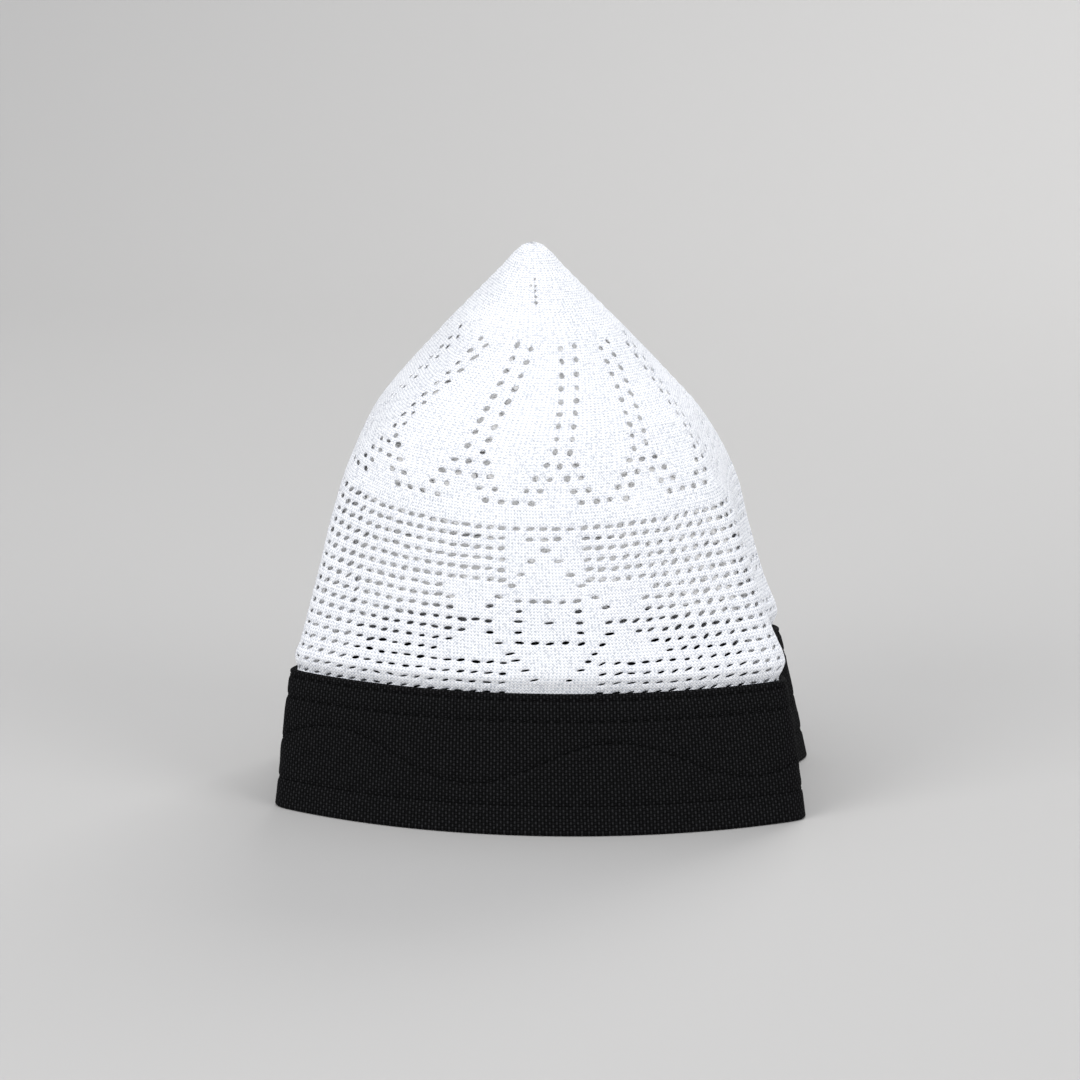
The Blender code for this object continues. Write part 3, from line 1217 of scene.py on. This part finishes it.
    def build(self, yarn: bpy.types.Material, lining: bpy.types.Material) -> list[bpy.types.Object]:
        """Make the crown's pieces.

        Args:
            yarn: the knit's material outside.
            lining: its material inside and in the eyelets, where light comes through.
        Returns:
            The pieces, from the band up.
        """
        tree = lace_tree()
        made = []
        for zone in Zone:
            sheet = self.sheet(zone)
            made.append(tree.apply(sheet, {"Wall": self.wall, "Yarn": yarn, "Lining": lining}))
        return made


@dataclass
class Band:
    """The doubled cloth band with its lines of sewing."""

    form: CapForm
    wall: float = 0.0024
    edge: float = 0.0009
    columns: int = 560
    rows: int = 52
    inner_rows: int = 12
    edge_steps: int = 6
    girth: float = 0.532
    groove: float = 0.0005
    groove_reach: float = 0.0009
    ripples: int = 43
    ripple: float = 0.00012
    ripple_sway: float = 3.0
    ripple_climb: float = 180.0
    edge_line: float = 0.0020
    seam_line: float = 0.0090
    foot_line: float = 0.0100
    wave_height: float = 0.0238
    wave_reach: float = 0.0070
    waves: int = 6
    wave_turn: float = 0.0475
    stitch_pitch: float = 0.0036
    stitch_length: float = 0.0027
    thread: float = 0.0005
    spread: float = 0.1
    seed: int = 3
    step: float = 0.0004

    def lines(self, turn: np.ndarray) -> list[np.ndarray]:
        """Heights of the lines of sewing above the rim.

        Args:
            turn: turns from the near panel's middle.
        Returns:
            The heights along the upper edge, the seam, the foot and the wave.
        """
        top = self.form.band_height
        level = np.ones_like(turn)
        wave = np.cos((turn - self.wave_turn) * 2 * math.pi * self.waves)
        return [
            level * (top - self.edge_line),
            level * (top - self.seam_line),
            level * self.foot_line,
            self.wave_height + self.wave_reach * wave,
        ]

    def sink(self, turn: np.ndarray, height: np.ndarray) -> np.ndarray:
        """Depth of the grooves that the sewing draws in, and of the cloth's faint ripple.

        Args:
            turn: turns from the near panel's middle.
            height: heights above the rim, in metres.
        Returns:
            The depths in metres.
        """
        depth = np.zeros(np.broadcast(turn, height).shape)
        for line in self.lines(turn):
            depth += self.groove * np.exp(-(((height - line) / self.groove_reach) ** 2))
        sway = self.ripple_sway * np.sin(height * self.ripple_climb)
        ripple = np.sin(turn * 2 * math.pi * self.ripples + sway)
        share = height / self.form.band_height
        return depth + self.ripple * ripple * np.sin(share * math.pi)

    def profile(self) -> list[tuple[float, float, bool]]:
        """The rings of the strip, once round its section.

        Returns:
            Each ring's share of the height, its depth in metres, and whether it is outside.
        """
        rings = []
        start = self.edge / self.form.top
        for count, outer in ((self.rows, True), (self.inner_rows, False)):
            for index in range(count + 1):
                rings.append((start + (1 - 2 * start) * index / count, 0.0, outer))
            for index in range(1, self.edge_steps):
                angle = math.pi * index / self.edge_steps
                depth = self.wall / 2 * (1 - math.cos(angle))
                rings.append((1 - start + start * math.sin(angle), depth, outer))
        return [
            (share, depth, True) if outer else (1 - share, self.wall - depth, False)
            for share, depth, outer in rings
        ]

    def strip(self, cloth: bpy.types.Material) -> bpy.types.Object:
        """The band's cloth, one closed ring.

        Args:
            cloth: its material.
        Returns:
            The piece.
        """
        turn = np.arange(self.columns) / self.columns
        rings = []
        for share, depth, outer in self.profile():
            length = np.full(self.columns, share * self.form.top)
            depths = np.full(self.columns, depth)
            if outer and depth == 0.0:
                depths += self.sink(turn, np.full(self.columns, share * self.form.band_height))
            point = self.form.inset(turn, length, depths)
            point[:, 2] = self.form.point(turn, length)[:, 2]
            rings.append(point)
        faces = []
        corners = []
        low = 0.0
        for index, ring in enumerate(rings):
            ahead = (index + 1) % len(rings)
            high = low + float(np.linalg.norm(rings[ahead][0] - ring[0]))
            here, there = index * self.columns, ahead * self.columns
            for column in range(self.columns):
                after = (column + 1) % self.columns
                faces.append((here + column, here + after, there + after, there + column))
                left = self.girth * column / self.columns
                right = self.girth * (column + 1) / self.columns
                corners += [(left, low), (right, low), (right, high), (left, high)]
            low = high
        made = mesh_object("band_cloth", np.vstack(rings), faces)
        write_uv(made.data, np.array(corners))
        made.data.shade_smooth()
        made.data.materials.append(cloth)
        return made

    def sewing(
        self, name: str, thread: bpy.types.Material, tree: GeometryTree, inner: bool
    ) -> bpy.types.Object:
        """The stitches of every line, on one face of the band.

        Args:
            name: the piece's name.
            thread: the thread's material.
            tree: the stitch nodes.
            inner: whether the inner face is sewn.
        Returns:
            The piece.
        """
        points, runs, outs = [], [], []
        fine = np.linspace(0, 1, 4001)
        for which, height in enumerate(self.lines(fine)):
            path = self.on_cloth(fine, height, inner)
            steps = np.linalg.norm(np.diff(path, axis=0), axis=1)
            along = np.concatenate(([0.0], np.cumsum(steps)))
            count = int(round(along[-1] / self.stitch_pitch))
            wanted = (np.arange(count) + 0.5) / count * along[-1]
            turn = np.interp(wanted, along, fine)
            ahead = np.interp(wanted + self.step, along, fine)
            here = self.on_cloth(turn, self.lines(turn)[which], inner)
            there = self.on_cloth(ahead, self.lines(ahead)[which], inner)
            normal = self.form.normal(turn, turn * 0 + self.form.top / 2)
            points.append(here)
            runs.append(there - here)
            outs.append(-normal if inner else normal)
        seeds = mesh_object(name, np.vstack(points), [])
        for key, values in (("run", np.vstack(runs)), ("out", np.vstack(outs))):
            values = values / np.linalg.norm(values, axis=1, keepdims=True)
            layer = seeds.data.attributes.new(key, "FLOAT_VECTOR", "POINT")
            layer.data.foreach_set("vector", values.astype(np.float32).ravel())
        values = {
            "Thread": self.thread,
            "Length": self.stitch_length,
            "Spread": self.spread,
            "Seed": self.seed,
            "Yarn": thread,
        }
        return tree.apply(seeds, values)

    def on_cloth(self, turn: np.ndarray, height: np.ndarray, inner: bool) -> np.ndarray:
        """Points on the cloth's face.

        Args:
            turn: turns from the near panel's middle.
            height: heights above the rim, in metres.
            inner: whether it is the inner face.
        Returns:
            The points in a last axis of three.
        """
        length = height / self.form.band_height * self.form.top
        if inner:
            return self.form.inset(turn, length, turn * 0 + self.wall)
        return self.form.inset(turn, length, self.sink(turn, height) - self.thread * 0.1)


class Lamp(NamedTuple):
    """A square soft light that faces the cap."""

    name: str
    place: tuple
    size: float
    power: float


LAMPS = (
    Lamp("light_top", (-0.3, -0.5, 1.9), 1.6, 15.0),
    Lamp("light_left", (-1.2, -1.4, 0.8), 1.2, 21.5),
    Lamp("light_right", (1.5, -1.1, 0.7), 1.2, 19.0),
    Lamp("light_back", (0.5, 1.6, 1.2), 1.2, 25.0),
)


@dataclass
class Studio:
    """The pale floor, the soft lights and the camera."""

    floor_size: float = 4.0
    bend_start: float = 1.0
    bend_radius: float = 0.8
    bend_steps: int = 23
    back_height: float = 3.0
    floor_colour: tuple = (0.462, 0.455, 0.445)
    sky_colour: tuple = (0.9, 0.93, 1.0)
    sky_strength: float = 0.45
    target: tuple = (0.0, 0.0, 0.09)
    azimuth: float = math.radians(5)
    elevation: float = math.radians(12)
    distance: float = 1.3
    sensor: float = 36.0
    focal_pixels: float = 3861.0
    centre_pixel: tuple = (549.0, 522.0)
    frame_pixels: float = 1080.0

    def floor(self) -> bpy.types.Object:
        """A floor that curves up far behind the cap.

        Returns:
            The floor.
        """
        half = self.floor_size / 2
        start, radius = self.bend_start, self.bend_radius
        rows = [(-half, 0.0)]
        for index in range(self.bend_steps + 1):
            angle = math.pi / 2 * index / self.bend_steps
            rows.append((start + radius * math.sin(angle), radius * (1 - math.cos(angle))))
        rows.append((start + radius, self.back_height))
        points = [(x, y, z) for y, z in rows for x in (-half, half)]
        faces = [(2 * i, 2 * i + 1, 2 * i + 3, 2 * i + 2) for i in range(len(rows) - 1)]
        made = mesh_object("floor", np.array(points), faces)
        made.data.shade_smooth()
        work = Surface("floor_paper", self.floor_colour, 0.9)
        made.data.materials.append(work.material)
        return made

    def lights(self) -> None:
        """A wide light overhead, one from the left, one from the right and one behind."""
        for lamp in LAMPS:
            data = bpy.data.lights.new(lamp.name, "AREA")
            data.shape = "SQUARE"
            data.size = lamp.size
            data.energy = lamp.power
            made = bpy.data.objects.new(lamp.name, data)
            bpy.context.scene.collection.objects.link(made)
            made.location = lamp.place
            aim = Vector(self.target) - Vector(lamp.place)
            made.rotation_euler = aim.to_track_quat("-Z", "Y").to_euler()
        world = bpy.data.worlds.new("studio")
        world.use_nodes = True
        shade = world.node_tree.nodes["Background"]
        shade.inputs["Color"].default_value = (*self.sky_colour, 1)
        shade.inputs["Strength"].default_value = self.sky_strength
        bpy.context.scene.world = world

    def camera(self) -> None:
        """A long lens a little above the cap, at the photograph's angle and framing."""
        data = bpy.data.cameras.new("camera")
        data.sensor_width = self.sensor
        data.lens = self.focal_pixels / self.frame_pixels * self.sensor
        made = bpy.data.objects.new("camera", data)
        bpy.context.scene.collection.objects.link(made)
        a, e = self.azimuth, self.elevation
        ahead = Vector((-math.sin(a) * math.cos(e), math.cos(a) * math.cos(e), -math.sin(e)))
        right = Vector((math.cos(a), math.sin(a), 0.0))
        up = right.cross(ahead)
        place = Vector(self.target) - ahead * self.distance
        half = self.frame_pixels / 2
        shift_x = (half - self.centre_pixel[0]) / self.focal_pixels * self.distance
        shift_y = (self.centre_pixel[1] - half) / self.focal_pixels * self.distance
        aim = Vector(self.target) + right * shift_x + up * shift_y
        made.location = place
        made.rotation_mode = "QUATERNION"
        made.rotation_quaternion = (aim - place).to_track_quat("-Z", "Y")
        data.clip_start = 0.05
        data.clip_end = 50.0
        bpy.context.scene.camera = made


def join_frame(made: bpy.types.Object, node: str) -> None:
    """Let a piece ride with the cap, stand for a node and log its triangles.

    Args:
        made: the piece.
        node: the node's name.
    """
    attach(made, "root")
    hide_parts(node)
    made.data.calc_loop_triangles()
    LOG.info("%s: %d triangles", made.name, len(made.data.loop_triangles))


def main() -> None:
    """Build and dress the cap, then set the studio."""
    logging.basicConfig(level=logging.INFO, format="%(message)s")
    bpy.context.scene.view_settings.view_transform = "Standard"
    form = CapForm()
    studio = Studio()
    studio.camera()
    studio.lights()
    studio.floor()
    outside = KnitFinish().make()
    # The lining's painted shade between its stitches is near white, much lighter than the
    # outside's.
    lining = KnitFinish(name="white_knit_inside", hollow_shade=(0.85, 0.86, 0.90), glow=0.9).make()
    for made in LaceCrown(form).build(outside, lining):
        join_frame(made, "crown")
    band = Band(form)
    join_frame(band.strip(ClothFinish().make()), "band")
    thread = ThreadFinish().make()
    tree = stitch_tree()
    for name, inner in (("band_sewing", False), ("band_sewing_inner", True)):
        join_frame(band.sewing(name, thread, tree, inner), "band")


if __name__ == "__main__":
    main()
